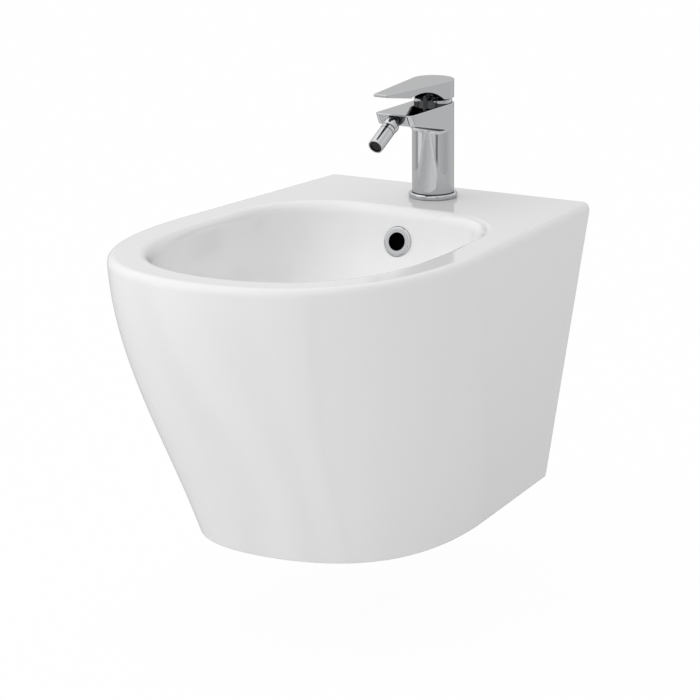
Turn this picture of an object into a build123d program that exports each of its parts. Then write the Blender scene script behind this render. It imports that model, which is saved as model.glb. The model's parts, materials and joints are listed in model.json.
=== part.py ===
"""A wall hung bidet with a single lever tap, a swivelling jet, an overflow and a click waste.

Millimetres, +Z up, the wall is the plane Y = 0 and the nose points along -Y.
The origin is the middle of the two wall fixing holes, on the wall.
"""

from build123d import *
from math import acos, atan2, cos, radians, sin, sqrt, tan
import os

os.makedirs("parts", exist_ok=True)

# Ceramic, outside
DECK_Z = 90.0  # deck above the fixing holes
CERAMIC_HEIGHT = 304.0
PROJECTION = 521.0  # wall to nose at the rim
FOOT_PROJECTION = 392.0  # wall to nose at the bottom edge
WALL_HALF_WIDTH = 158.6  # at the wall, deck level
SIDE_HALF_WIDTH = 178.6  # where the straight side ends, deck level
FOOT_WALL_HALF_WIDTH = 108.2
FOOT_SIDE_HALF_WIDTH = 130.6
SIDE_LENGTH = 267.0  # straight side, deck level
FOOT_SIDE_LENGTH = 181.0
SIDE_PULL = 167.0  # how long the side keeps its direction before it turns to the nose
FOOT_SIDE_PULL = 139.0
NOSE_PULL = 120.0  # how broad the nose is
FOOT_NOSE_PULL = 106.0
SHROUD_BELLY = 0.9  # fullness of the nose between rim and foot
SHROUD_SECTIONS = 6
RIM_RADIUS = 8.0
WALL_EDGE_RADIUS = 3.0
FOOT_EDGE_RADIUS = 3.0
SHROUD_WALL = 12.0
DECK_THICKNESS = 14.0
BACK_PLATE = 18.0

# Bowl
RIM_WIDTH = 42.0
BOWL_BACK_Y = 125.0  # wall to the bowl's back wall
BOWL_SIDE_PULL = 110.0
BOWL_NOSE_PULL = 118.0
BOWL_CORNER = 88.0  # plan radius of its back corners
BOWL_DEPTH = 118.0
BOWL_EDGE_RADIUS = 11.0
BOWL_WALL = 10.0
BOWL_STEEPNESS = 2.6  # how long the wall stays upright before it turns in
BOWL_ROUNDNESS = 1.7  # how quickly the floor flattens out
BOWL_SECTIONS = 8
BOWL_SECTION_BIAS = 0.75  # under 1 puts more of the bowl's sections near its floor
BOWL_FLOOR_SHARE = 0.95  # share of the depth where the walls hand over to the waste seat
WASTE_Y = 259.0  # wall to the waste's axis

# Overflow
OVERFLOW_DROP = 34.5  # below the deck
OVERFLOW_HOLE_R = 12.0
OVERFLOW_RING_R = 16.0
OVERFLOW_BORE_R = 9.6
OVERFLOW_RING_PROUD = 2.5
OVERFLOW_SEAT_DEPTH = 1.0
OVERFLOW_SLEEVE_WALL = 1.2
OVERFLOW_SLEEVE_LENGTH = 7.0
DUCT_DEPTH = 16.0
DUCT_WIDTH = 30.0
DUCT_WALL = 8.0
DUCT_STEPS = 10

# Waste, downwards from its seat in the bowl's floor
WASTE_HOLE_R = 23.0
WASTE_SEAT_R = 35.0
WASTE_SEAT_DEPTH = 4.0
WASTE_NECK_LENGTH = 50.0
WASTE_NECK_WALL = 11.0
WASTE_TUBE_R = 20.95  # G 1 1/4 pipe thread, outside
WASTE_BORE_R = 18.0
WASTE_TAIL = 96.0  # seat to the open end of the tube
TAIL_THREAD = 21.0  # free thread at the open end, for the trap
TAIL_GROOVE = 2.0  # runs between the free thread and the lock nut's
WASTE_FLANGE_R = 32.5
WASTE_FLANGE_THICKNESS = 2.5
WASTE_FLANGE_SEAL = 1.5
WASTE_CUP_R = 24.0  # mouth of the flange that the plug closes
WASTE_CUP_DROP = 3.5
WASTE_SEAT_EDGE_R = 30.0  # flat seat of the flange, outside
WASTE_SLOT_DROP = 15.0  # seat to the top of the overflow slots
WASTE_SLOT_WIDTH = 14.0
WASTE_SLOT_HEIGHT = 14.0
SPIDER_DROP = 34.0
SPIDER_HEIGHT = 7.0
SPIDER_ARM = 4.0
HUB_R = 8.0
LATCH_R = 5.5
LATCH_BORE_R = 3.55
LATCH_LENGTH = 24.0
PLUG_PIN_R = 3.5
PLUG_R = 30.5
PLUG_THICKNESS = 3.0
PLUG_CROWN = 2.0
PLUG_SEAL_R = 29.0
PLUG_SEAL_INNER_R = 24.5
PLUG_SEAL_HEIGHT = 1.5
GASKET_R = 32.0
GASKET_TOP_R = 29.0
GASKET_HEIGHT = 7.0
SLIP_RING = 2.0
LOCK_NUT_FLATS = 55.0
LOCK_NUT_HEIGHT = 12.0

# Wall fixing
FIXING_SPACING = 180.0
FIXING_HOLE_R = 9.0
FIXING_BOSS_R = 24.0
FIXING_BOSS_DEPTH = 26.0  # wall to the boss's inner face
FIXING_STUD_R = 6.0
SLEEVE_BORE_R = 6.5
SLEEVE_FLANGE_R = 15.0
SLEEVE_FLANGE = 3.0
FIXING_WASHER_R = 18.5
FIXING_WASHER = 3.0
FIXING_NUT_FLATS = 18.0
FIXING_NUT_HEIGHT = 10.0
SERVICE_HALF_WIDTH = 72.0  # opening in the back plate for pipes
SERVICE_TOP_DROP = 150.0
SERVICE_CORNER = 30.0

# Tap, upwards from the deck
TAP_Y = 54.0
TAP_HOLE_R = 17.5
BASE_RING_R = 25.6
BASE_RING_HEIGHT = 5.6
BASE_RING_EDGE = 2.2
BASE_SEAL_INNER_R = 19.6
BASE_SEAL_OUTER_R = 22.6
BASE_SEAL = 1.2
SPIGOT_R = 17.0
TAP_R = 22.0
TAP_TOP = 100.5
TAP_FOOT_CHAMFER = 0.6
SPOUT_REACH = 86.0  # axis to the spout's front edge
SPOUT_FACE_HEIGHT = 12.2
JET_DROP_ANGLE = 28.0  # the spout's front face looks this much below level
SPOUT_ROOT_Z = 71.5  # underside of the spout at the tap's axis
SPOUT_CORNER = 6.5
SPOUT_EDGE = 0.8
SPOUT_UNDER_EDGE = 2.5
SPOUT_ROOT_RADIUS = 6.0
WATERWAY_R = 2.8
SPIGOT_DROP = 6.0  # deck to the spigot's lower end
WINDOW_Z = 84.5  # middle of the cartridge's outlet window
WINDOW_WIDTH = 9.0
WINDOW_HEIGHT = 5.0
INLET_R = 5.0
INLET_DEPTH = 12.0
INLET_SPREAD = 7.5
INLET_FORWARD = 4.0
INLET_PASSAGE_R = 2.5
STUD_R = 4.0
STUD_BACK = 9.0
STUD_DEPTH = 14.0
STUD_LENGTH_BELOW = 62.0  # deck to the stud's lower end
HORSESHOE_R = 25.0
HORSESHOE_SLOT = 27.0
HORSESHOE_SLOT_END = 2.0  # behind the tap's axis
HORSESHOE_CORNER = 6.0
HORSESHOE_SEAL = 3.0
HORSESHOE_PLATE = 2.5
STUD_NUT_FLATS = 13.0
STUD_NUT_HEIGHT = 22.0

# Cartridge, heights from the deck
CHAMBER_Z = 62.0
CHAMBER_R = 17.6
HOUSING_TOP_Z = 90.0
HOUSING_BASE = 4.0
HOUSING_WALL = 2.9
SEAL_OUTER_R = 4.2
SEAL_HEIGHT = 1.2
DISC_R = 11.0
FIXED_DISC_R = 14.4
FIXED_DISC = 4.0
MOVING_DISC = 3.0
CARRIER = 6.5
TURRET_GAP = 0.3
TURRET_FLANGE_R = 14.3
TURRET_NECK_R = 12.0
GUIDE_Z = 86.0  # underside of the housing's guide ring
TURRET_TOP_Z = 98.6
TURRET_SLOT_WIDTH = 7.4
TURRET_SLOT_LENGTH = 18.0
PIVOT_Z = 92.0
PIN_R = 1.5
RUNNING_FIT = 0.05
ASSEMBLY_GAP = 0.05
NUT_R = 19.0
NUT_BORE_R = 15.2
NUT_COLLAR_R = 18.6
NUT_COLLAR_TOP_Z = 104.0
NUT_SLOT = 4.0
STEM_LEAN = 12.0  # forward lean of the stem with the tap shut, half of its whole swing
STEM_SIDE = 7.0
STEM_TOP = 25.0  # along the stem, from the pin
STEM_SHANK = 7.0
STEM_BALL_DROP = 14.0
STEM_BALL_R = 2.4
CARRIER_HOLE_R = 2.7
STEM_NECK_R = 1.8

# Cover and lever, heights from the deck
COVER_R = 20.0
COVER_BAND_Z = 104.4
COVER_TOP_Z = 110.5
COVER_MOUTH_R = 12.0
COVER_ARC = 11.0
COVER_WALL = 1.4
LEVER_TOP_Z = 125.0
LEVER_SKIRT_Z = 106.0
LEVER_REACH = 110.5  # axis to the tip
LEVER_TIP_HALF_WIDTH = 8.0
LEVER_TIP_THICKNESS = 2.8
LEVER_TIP_CORNER = 3.0
LEVER_WALL = 2.0
LEVER_CEILING = 4.0
LEVER_HOLLOW_REACH = 62.0  # axis to the front end of the hollow
LEVER_SKIRT_REACH = 8.0  # axis to where the skirt starts to rise
LEVER_EDGE = 0.8
ARCH_FRONT = (68.0, 116.1)  # forward of the axis, height
ARCH_CROWN = (46.0, 118.5)
ARCH_REAR = (11.5, LEVER_SKIRT_Z)
BOSS_R = 7.0
BOSS_START = 19.0  # along the stem, from the pin
GRUB_R = 2.0
GRUB_LENGTH = 5.0
GRUB_ALONG = 23.0
GRUB_HEX = 2.0
PLUG_HOLE_R = 3.0
SCREW_PLUG = 2.2

# Jet, along its own axis from the ball's centre
BALL_R = 6.2
BALL_STANDOFF = 7.3  # spout face to ball centre
BALL_BELOW_MIDDLE = 1.8
BALL_FIT = 0.05
NECK_R = 3.2
BALL_BORE_R = 2.0
INSERT_THREAD_R = 3.5
STUD_INSERT = 7.0
SOCKET_R = 8.6
SOCKET_BACK = 4.8
SOCKET_MOUTH_R = 5.0
SOCKET_FRONT = 4.6
SEAT_START = 2.6
SEAT_END = 5.4
SEAT_BORE_R = 3.4
JET_SEAL_END = 6.4
JET_SEAL_R = 7.2
COLLAR_END = 10.4
COLLAR_R = 7.9
WASHER_END = 11.2
WASHER_R = 7.4
BARREL_END = 35.5
BARREL_R = 7.9
SPIGOT_JET_R = 5.6
BARREL_BORE_R = 3.6
INSERT_R = 6.9
INSERT_WALL = 1.2
INSERT_LENGTH = 8.0
INSERT_LIP = 1.0
MESH_PLATE = 2.0
MESH_HOLE_R = 0.55
MESH_PITCH = 1.9

# Places worked out from the values above
DECK = Plane.XY.offset(DECK_Z)
TAP = Plane(origin=(0, -TAP_Y, DECK_Z))
WASTE_SEAT_Z = DECK_Z - BOWL_DEPTH * BOWL_FLOOR_SHARE - WASTE_SEAT_DEPTH
WASTE = Plane(origin=(0, -WASTE_Y, WASTE_SEAT_Z))
PAST = 10.0  # how far a cutting block runs past what it cuts
PAST_WALL = 54.0  # how far the shroud runs behind the wall before it is cut flat
NUT_BEVEL = 0.6  # share of a nut's corners that is turned off


def save(part, name):
    """Label a finished piece and write it to its own file."""
    part.label = name
    export_step(part, f"parts/{name}.step")


def upright(plane):
    """The vertical plane through another plane's axis: across is radial, up is along the axis."""
    return Plane(origin=plane.origin, x_dir=plane.x_dir, z_dir=-plane.y_dir)


def turned(plane, profile):
    """A solid of revolution about a plane's own axis, from (radius, height) points."""
    with BuildPart() as piece:
        with BuildSketch(upright(plane)):
            with BuildLine():
                Polyline(*profile, close=True)
            make_face()
        revolve(axis=Axis(plane.origin, plane.z_dir))
    return piece.part


def ring(plane, outer_r, inner_r, low, high):
    """A flat ring between two heights of a plane's axis."""
    return turned(plane, [(inner_r, low), (outer_r, low), (outer_r, high), (inner_r, high)])


def rod(plane, radius, low, high):
    """A round rod between two heights of a plane's axis."""
    return turned(plane, [(0, low), (radius, low), (radius, high), (0, high)])


def hexagon(plane, flats, bore_r, low, high):
    """A hexagon nut between two heights of a plane's axis, with its corners turned off."""
    corner_r = flats / sqrt(3)
    bevel = (corner_r - flats / 2) * NUT_BEVEL
    with BuildPart() as nut:
        with BuildSketch(plane.offset(low)):
            RegularPolygon(flats / 2, 6, major_radius=False)
            Circle(bore_r, mode=Mode.SUBTRACT)
        extrude(amount=high - low)
        with BuildSketch(upright(plane)):
            with BuildLine():
                Polyline(
                    (0, low),
                    (corner_r - bevel, low),
                    (corner_r, low + bevel),
                    (corner_r, high - bevel),
                    (corner_r - bevel, high),
                    (0, high),
                    close=True,
                )
            make_face()
        revolve(axis=Axis(plane.origin, plane.z_dir), mode=Mode.INTERSECT)
    return nut.part


# Ceramic body


def blend(top, bottom, share):
    """A value part of the way from its rim size to its foot size."""
    return top + (bottom - top) * share


def belly(s):
    """How far the nose has come in, from 0 at the rim to 1 at the foot."""
    return (1 + SHROUD_BELLY) * s**2 - SHROUD_BELLY * s**3


def d_outline(back_y, half_back, half_side, side_y, nose_y, side_pull, nose_pull, corner=0.0):
    """A plan with a straight back, straight sides and a round nose, as a closed face."""
    slope = atan2(half_side - half_back, back_y - side_y)
    lead = (half_side + side_pull * sin(slope), side_y - side_pull * cos(slope))
    with BuildSketch(mode=Mode.PRIVATE) as plan:
        with BuildLine():
            Line((-half_back, back_y), (half_back, back_y))
            side = Line((half_back, back_y), (half_side, side_y))
            nose = Bezier((half_side, side_y), lead, (nose_pull, nose_y), (0, nose_y))
            mirror([side, nose], about=Plane.YZ)
        make_face()
        if corner:
            fillet(plan.vertices().group_by(Axis.Y)[-1], corner)
    return plan.sketch


def shroud_plan(s, back_y, inset):
    """The shroud's plan at share s of its height, from 0 at the rim to 1 at the foot."""
    g = belly(s)
    middle = (s + g) / 2
    half_wall = blend(WALL_HALF_WIDTH, FOOT_WALL_HALF_WIDTH, s) - inset
    half_side = blend(SIDE_HALF_WIDTH, FOOT_SIDE_HALF_WIDTH, middle) - inset
    side_length = blend(SIDE_LENGTH, FOOT_SIDE_LENGTH, g)
    widening = (half_side - half_wall) / side_length
    return d_outline(
        back_y,
        half_wall - widening * back_y,
        half_side,
        -side_length,
        inset - blend(PROJECTION, FOOT_PROJECTION, g),
        blend(SIDE_PULL, FOOT_SIDE_PULL, g) - inset / 2,
        blend(NOSE_PULL, FOOT_NOSE_PULL, middle) - inset / 2,
    )


def shroud(top_drop, inset, wall_gap, below=0.0):
    """The shroud as a block, from a depth under the deck to the foot, cut flat near the wall."""
    with BuildPart() as block:
        for i in range(SHROUD_SECTIONS):
            s = blend(top_drop / CERAMIC_HEIGHT, 1, i / (SHROUD_SECTIONS - 1))
            with BuildSketch(DECK.offset(-CERAMIC_HEIGHT * s)):
                add(shroud_plan(s, PAST_WALL, inset))
        loft()
        if below:
            extrude(block.faces().sort_by(Axis.Z)[0], amount=below)
        with BuildSketch(Plane.XZ.offset(wall_gap)):
            Rectangle(4 * SIDE_HALF_WIDTH, 4 * CERAMIC_HEIGHT)
        extrude(amount=-2 * PAST_WALL, mode=Mode.SUBTRACT)
    return block.part


def bowl_share(s):
    """Size of the bowl's plan, from 1 at the rim to 0 at the drain, at share s of its depth."""
    return (1 - s**BOWL_STEEPNESS) ** (1 / BOWL_ROUNDNESS)


def bowl_plan(s, grow):
    """The bowl's plan at share s of its depth, drawn in towards the drain and grown by a wall."""
    k = bowl_share(s)
    widening = (SIDE_HALF_WIDTH - WALL_HALF_WIDTH) / SIDE_LENGTH
    half_back = WALL_HALF_WIDTH + widening * BOWL_BACK_Y - RIM_WIDTH
    return d_outline(
        (WASTE_Y - BOWL_BACK_Y) * k + grow - WASTE_Y,
        half_back * k + grow,
        (SIDE_HALF_WIDTH - RIM_WIDTH) * k + grow,
        (WASTE_Y - SIDE_LENGTH) * k - WASTE_Y,
        (WASTE_Y + RIM_WIDTH - PROJECTION) * k - grow - WASTE_Y,
        BOWL_SIDE_PULL * k,
        BOWL_NOSE_PULL * k + grow / 2,
        BOWL_CORNER * k + grow,
    )


def bowl(grow, above=0.0):
    """The bowl as a block, with its walls grown outwards and its top carried above the deck."""
    with BuildPart() as block:
        for i in range(BOWL_SECTIONS):
            s = BOWL_FLOOR_SHARE * (i / (BOWL_SECTIONS - 1)) ** BOWL_SECTION_BIAS
            with BuildSketch(DECK.offset(-(BOWL_DEPTH + grow) * s)):
                add(bowl_plan(s, grow))
        loft()
        if above:
            extrude(block.faces().sort_by(Axis.Z)[-1], amount=above)
    return block.part


def back_wall(s, grow):
    """A point (Y, Z) of the bowl's back wall at share s of its depth, moved out by a distance."""
    y = (WASTE_Y - BOWL_BACK_Y) * bowl_share(s) + grow - WASTE_Y
    return (y, DECK_Z - (BOWL_DEPTH + grow) * s)


def duct(near, far, s_top, width):
    """A bent slab behind and under the bowl, between two distances from its back wall."""
    shares = [blend(s_top, 1, i / DUCT_STEPS) for i in range(DUCT_STEPS + 1)]
    inner = [back_wall(s, near) for s in shares]
    outer = [back_wall(s, far) for s in reversed(shares)]
    with BuildPart() as slab:
        with BuildSketch(Plane.YZ):
            with BuildLine():
                Polyline(*inner, *outer, close=True)
            make_face()
        extrude(amount=width / 2, both=True)
    return slab.part


def overflow_plane():
    """The plane of the overflow ring, square to the bowl's back wall."""
    s = OVERFLOW_DROP / BOWL_DEPTH
    step = 0.05
    above, below = back_wall(s - step, 0), back_wall(s + step, 0)
    lean = atan2(above[0] - below[0], above[1] - below[1])
    y, z = back_wall(s, 0)
    return Plane(origin=(0, y, z), x_dir=(1, 0, 0), z_dir=(0, -cos(lean), sin(lean)))


def fixing_planes():
    """One plane for each wall fixing, on the wall and facing the room."""
    return [
        Plane(origin=(x, 0, 0), x_dir=(1, 0, 0), z_dir=(0, -1, 0))
        for x in (-FIXING_SPACING / 2, FIXING_SPACING / 2)
    ]


OVERFLOW = overflow_plane()

outer_block = shroud(0, 0, 0)
rim_edges = outer_block.edges().group_by(Axis.Z)[-1].sort_by(Axis.Y)[:-1]
outer_block = outer_block.fillet(RIM_RADIUS, rim_edges)
wall_face = outer_block.faces().sort_by(Axis.Y)[-1]
outer_block = outer_block.fillet(WALL_EDGE_RADIUS, wall_face.edges().sort_by(Axis.Z)[1:])
foot_face = outer_block.faces().sort_by(Axis.Z)[0]
outer_block = outer_block.fillet(FOOT_EDGE_RADIUS, foot_face.edges().sort_by(Axis.Y)[:-1])

hollow_block = shroud(DECK_THICKNESS, SHROUD_WALL, BACK_PLATE, PAST)
bowl_shell = bowl(BOWL_WALL)
bowl_void = bowl(0, PAST)
top_share = DECK_THICKNESS / 2 / BOWL_DEPTH
duct_case = duct(BOWL_WALL / 2, BOWL_WALL + DUCT_DEPTH + DUCT_WALL, top_share, DUCT_WIDTH + 2 * DUCT_WALL)
duct_void = duct(BOWL_WALL, BOWL_WALL + DUCT_DEPTH, 2 * top_share, DUCT_WIDTH)
neck = rod(WASTE, WASTE_HOLE_R + WASTE_NECK_WALL, -WASTE_NECK_LENGTH, 0)

bosses = [rod(plane, FIXING_BOSS_R, 0, FIXING_BOSS_DEPTH) for plane in fixing_planes()]

with BuildPart() as hollow:
    add(hollow_block)
    add([bowl_shell, duct_case, neck, *bosses], mode=Mode.SUBTRACT)

with BuildPart() as ceramic_body:
    add(outer_block)
    add([hollow.part, bowl_void, duct_void], mode=Mode.SUBTRACT)
    mouth = ceramic_body.faces().filter_by(Plane.XY).sort_by(Axis.Z)[-1].inner_wires()[0]
    fillet(mouth.edges(), BOWL_EDGE_RADIUS)
    with BuildSketch(WASTE):
        Circle(WASTE_SEAT_R)
    extrude(amount=PAST, mode=Mode.SUBTRACT)
    with BuildSketch(WASTE):
        Circle(WASTE_HOLE_R)
    extrude(amount=-WASTE_NECK_LENGTH, mode=Mode.SUBTRACT)
    with BuildSketch(OVERFLOW.offset(-OVERFLOW_SEAT_DEPTH)):
        Circle(OVERFLOW_RING_R)
    extrude(amount=PAST, mode=Mode.SUBTRACT)
    with BuildSketch(OVERFLOW):
        Circle(OVERFLOW_HOLE_R)
    extrude(amount=-BOWL_WALL - DUCT_DEPTH / 2, mode=Mode.SUBTRACT)
    with BuildSketch(TAP):
        Circle(TAP_HOLE_R)
    extrude(amount=-DECK_THICKNESS, mode=Mode.SUBTRACT)
    for plane in fixing_planes():
        with BuildSketch(plane):
            Circle(FIXING_HOLE_R)
        extrude(amount=FIXING_BOSS_DEPTH, mode=Mode.SUBTRACT)
    service_top = DECK_Z - SERVICE_TOP_DROP
    service_height = CERAMIC_HEIGHT - SERVICE_TOP_DROP
    with BuildSketch(Plane.XZ) as service:
        with Locations((0, service_top)):
            Rectangle(2 * SERVICE_HALF_WIDTH, service_height + PAST, align=(Align.CENTER, Align.MAX))
        fillet(service.vertices().group_by(Axis.Y)[-1], SERVICE_CORNER)
    extrude(amount=BACK_PLATE, mode=Mode.SUBTRACT)

save(ceramic_body.part, "ceramic_body")

# Overflow ring: a domed flange and a sleeve pressed into the hole

overflow_sleeve_r = OVERFLOW_BORE_R + OVERFLOW_SLEEVE_WALL
overflow_flange = ring(OVERFLOW, OVERFLOW_RING_R, OVERFLOW_BORE_R, -OVERFLOW_SEAT_DEPTH, OVERFLOW_RING_PROUD)
overflow_sleeve = ring(OVERFLOW, overflow_sleeve_r, OVERFLOW_BORE_R, -OVERFLOW_SLEEVE_LENGTH, 0)

with BuildPart() as overflow_ring:
    add(overflow_flange)
    front = overflow_ring.faces().sort_by(Axis(OVERFLOW.origin, OVERFLOW.z_dir))[-1]
    fillet(front.outer_wire().edges(), OVERFLOW_RING_PROUD)
    add(overflow_sleeve)

save(overflow_ring.part, "overflow_ring")

# Waste: flange and tube in one, with the spider that carries the latch

flange_top = WASTE_FLANGE_SEAL + WASTE_FLANGE_THICKNESS
flange_edge = WASTE_FLANGE_SEAL + WASTE_FLANGE_THICKNESS / 2
spider_top = flange_top - SPIDER_DROP
spider_low = spider_top - SPIDER_HEIGHT
groove_low = TAIL_THREAD - WASTE_TAIL
waste_tube = turned(
    WASTE,
    [
        (WASTE_BORE_R, -WASTE_TAIL),
        (WASTE_TUBE_R, -WASTE_TAIL),
        (WASTE_TUBE_R, groove_low),
        (WASTE_TUBE_R - TAIL_GROOVE / 2, groove_low),
        (WASTE_TUBE_R - TAIL_GROOVE / 2, groove_low + TAIL_GROOVE),
        (WASTE_TUBE_R, groove_low + TAIL_GROOVE),
        (WASTE_TUBE_R, WASTE_FLANGE_SEAL),
        (WASTE_FLANGE_R, WASTE_FLANGE_SEAL),
        (WASTE_FLANGE_R, flange_edge),
        (WASTE_SEAT_EDGE_R, flange_top),
        (WASTE_CUP_R, flange_top),
        (WASTE_BORE_R, flange_top - WASTE_CUP_DROP),
    ],
)

with BuildPart() as waste_body:
    add(waste_tube)
    with BuildSketch(WASTE.offset(spider_top)):
        Circle(HUB_R)
        Rectangle(2 * WASTE_BORE_R + SPIDER_ARM / 2, SPIDER_ARM)
        Rectangle(SPIDER_ARM, 2 * WASTE_BORE_R + SPIDER_ARM / 2)
    extrude(amount=-SPIDER_HEIGHT)
    with BuildSketch(WASTE.offset(spider_top)):
        Circle(LATCH_R)
    extrude(amount=-SPIDER_HEIGHT, mode=Mode.SUBTRACT)
    with BuildSketch(upright(WASTE)):
        with Locations((0, -WASTE_SLOT_DROP - WASTE_SLOT_HEIGHT / 2)):
            Rectangle(WASTE_SLOT_WIDTH, WASTE_SLOT_HEIGHT)
    extrude(amount=WASTE_HOLE_R, both=True, mode=Mode.SUBTRACT)

save(waste_body.part, "waste_body")
save(ring(WASTE, WASTE_FLANGE_R, WASTE_TUBE_R, 0, WASTE_FLANGE_SEAL), "flange_seal")

# Waste latch: its sleeve stands in the spider, the pin slides in the sleeve and carries the plug

latch_top = spider_low + LATCH_LENGTH
plug_low = flange_top + PLUG_SEAL_HEIGHT
click_cartridge = turned(
    WASTE,
    [
        (0, spider_low - LATCH_R),
        (LATCH_R, spider_low),
        (LATCH_R, latch_top),
        (LATCH_BORE_R, latch_top),
        (LATCH_BORE_R, spider_low),
        (0, spider_low),
    ],
)
save(click_cartridge, "click_cartridge")
save(rod(WASTE, PLUG_PIN_R, spider_low + ASSEMBLY_GAP, plug_low), "plug_pin")

plug_blank = rod(WASTE, PLUG_R, plug_low, plug_low + PLUG_THICKNESS)
plug_edge = plug_blank.faces().sort_by(Axis.Z)[-1].edges()
save(plug_blank.fillet(PLUG_CROWN, plug_edge), "waste_plug")
save(ring(WASTE, PLUG_SEAL_R, PLUG_SEAL_INNER_R, flange_top, plug_low), "plug_seal")

# Under the bowl: gasket, slip ring and lock nut on the waste's thread

gasket_low = -WASTE_NECK_LENGTH - GASKET_HEIGHT
nut_top = gasket_low - SLIP_RING
waste_gasket = turned(
    WASTE,
    [
        (WASTE_TUBE_R, gasket_low),
        (GASKET_R, gasket_low),
        (GASKET_TOP_R, -WASTE_NECK_LENGTH),
        (WASTE_TUBE_R, -WASTE_NECK_LENGTH),
    ],
)
save(waste_gasket, "waste_gasket")
save(ring(WASTE, GASKET_R, WASTE_TUBE_R, nut_top, gasket_low), "waste_washer")
save(hexagon(WASTE, LOCK_NUT_FLATS, WASTE_TUBE_R, nut_top - LOCK_NUT_HEIGHT, nut_top), "waste_lock_nut")

# Wall fixings: a sleeve, a washer and a nut on each side

washer_low = FIXING_BOSS_DEPTH + SLEEVE_FLANGE
fixing_nut_low = washer_low + FIXING_WASHER
fixing_nut_high = fixing_nut_low + FIXING_NUT_HEIGHT
sleeve_pieces = []
washer_pieces = []
nut_pieces = []
for plane in fixing_planes():
    sleeve = turned(
        plane,
        [
            (SLEEVE_BORE_R, 0),
            (FIXING_HOLE_R, 0),
            (FIXING_HOLE_R, FIXING_BOSS_DEPTH),
            (SLEEVE_FLANGE_R, FIXING_BOSS_DEPTH),
            (SLEEVE_FLANGE_R, washer_low),
            (SLEEVE_BORE_R, washer_low),
        ],
    )
    sleeve_pieces.append(sleeve)
    washer_pieces.append(ring(plane, FIXING_WASHER_R, SLEEVE_BORE_R, washer_low, fixing_nut_low))
    nut_pieces.append(hexagon(plane, FIXING_NUT_FLATS, FIXING_STUD_R, fixing_nut_low, fixing_nut_high))

save(Compound(children=sleeve_pieces), "fixing_sleeves")
save(Compound(children=washer_pieces), "fixing_washers")
save(Compound(children=nut_pieces), "fixing_nuts")

# Tap base: ring with a groove for its seal

base_blank = ring(TAP, BASE_RING_R, SPIGOT_R, 0, BASE_RING_HEIGHT)
base_groove = ring(TAP, BASE_SEAL_OUTER_R, BASE_SEAL_INNER_R, 0, BASE_SEAL)

with BuildPart() as tap_base_ring:
    add(base_blank)
    fillet(tap_base_ring.faces().sort_by(Axis.Z)[-1].outer_wire().edges(), BASE_RING_EDGE)
    fillet(tap_base_ring.faces().sort_by(Axis.Z)[0].outer_wire().edges(), BASE_RING_EDGE)
    add(base_groove, mode=Mode.SUBTRACT)

save(tap_base_ring.part, "tap_base_ring")
save(base_groove, "tap_base_seal")

# Jet axis: square to the spout's front face, through the ball's centre

jet_angle = radians(JET_DROP_ANGLE)
spout_front_y = -TAP_Y - SPOUT_REACH
spout_lip = (spout_front_y + SPOUT_FACE_HEIGHT * tan(jet_angle), DECK_Z + TAP_TOP - SPOUT_FACE_HEIGHT)
face_middle = ((spout_front_y + spout_lip[0]) / 2, DECK_Z + TAP_TOP - SPOUT_FACE_HEIGHT / 2)
ball_y = face_middle[0] - BALL_STANDOFF * cos(jet_angle) + BALL_BELOW_MIDDLE * sin(jet_angle)
ball_z = face_middle[1] - BALL_STANDOFF * sin(jet_angle) - BALL_BELOW_MIDDLE * cos(jet_angle)
JET = Plane(origin=(0, ball_y, ball_z), x_dir=(1, 0, 0), z_dir=(0, -cos(jet_angle), -sin(jet_angle)))

# Tap body: cylinder with its spigot, spout, cartridge chamber and water passages

insert_low = -BALL_STANDOFF - STUD_INSERT
chamber_front = Vector(0, -TAP_Y - TAP_R / 2, DECK_Z + WINDOW_Z)
waterway_end = JET.from_local_coords(Vector(0, 0, insert_low + WATERWAY_R))
waterway_dir = (waterway_end - chamber_front).normalized()
waterway = rod(
    Plane(origin=chamber_front, x_dir=(1, 0, 0), z_dir=waterway_dir),
    WATERWAY_R,
    0,
    (waterway_end - chamber_front).length,
)
insert_hole = rod(JET, INSERT_THREAD_R, insert_low, 0)
tap_cylinder = turned(
    TAP,
    [
        (0, -SPIGOT_DROP),
        (SPIGOT_R, -SPIGOT_DROP),
        (SPIGOT_R, BASE_RING_HEIGHT),
        (TAP_R - TAP_FOOT_CHAMFER, BASE_RING_HEIGHT),
        (TAP_R, BASE_RING_HEIGHT + TAP_FOOT_CHAMFER),
        (TAP_R, TAP_TOP),
        (0, TAP_TOP),
    ],
)
chamber = rod(TAP, CHAMBER_R, CHAMBER_Z, TAP_TOP)
nut_thread = rod(TAP, NUT_R, HOUSING_TOP_Z, TAP_TOP)

with BuildPart() as spout:
    with BuildSketch(Plane.YZ):
        with BuildLine():
            Polyline(
                (-TAP_Y, DECK_Z + TAP_TOP),
                (spout_front_y, DECK_Z + TAP_TOP),
                spout_lip,
                (-TAP_Y, DECK_Z + SPOUT_ROOT_Z),
                close=True,
            )
        make_face()
    extrude(amount=TAP_R, both=True)
    front_face = spout.faces().sort_by(Axis(JET.origin, JET.z_dir))[-1]
    side_edges = front_face.edges().filter_by(Axis.X, reverse=True)
    fillet(side_edges, SPOUT_CORNER)
    under_face = spout.faces().sort_by(Axis.Z)[0]
    under_edges = [edge for edge in under_face.edges() if abs(edge.center().X) > TAP_R / 2]
    fillet(under_edges, SPOUT_UNDER_EDGE)

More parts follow.
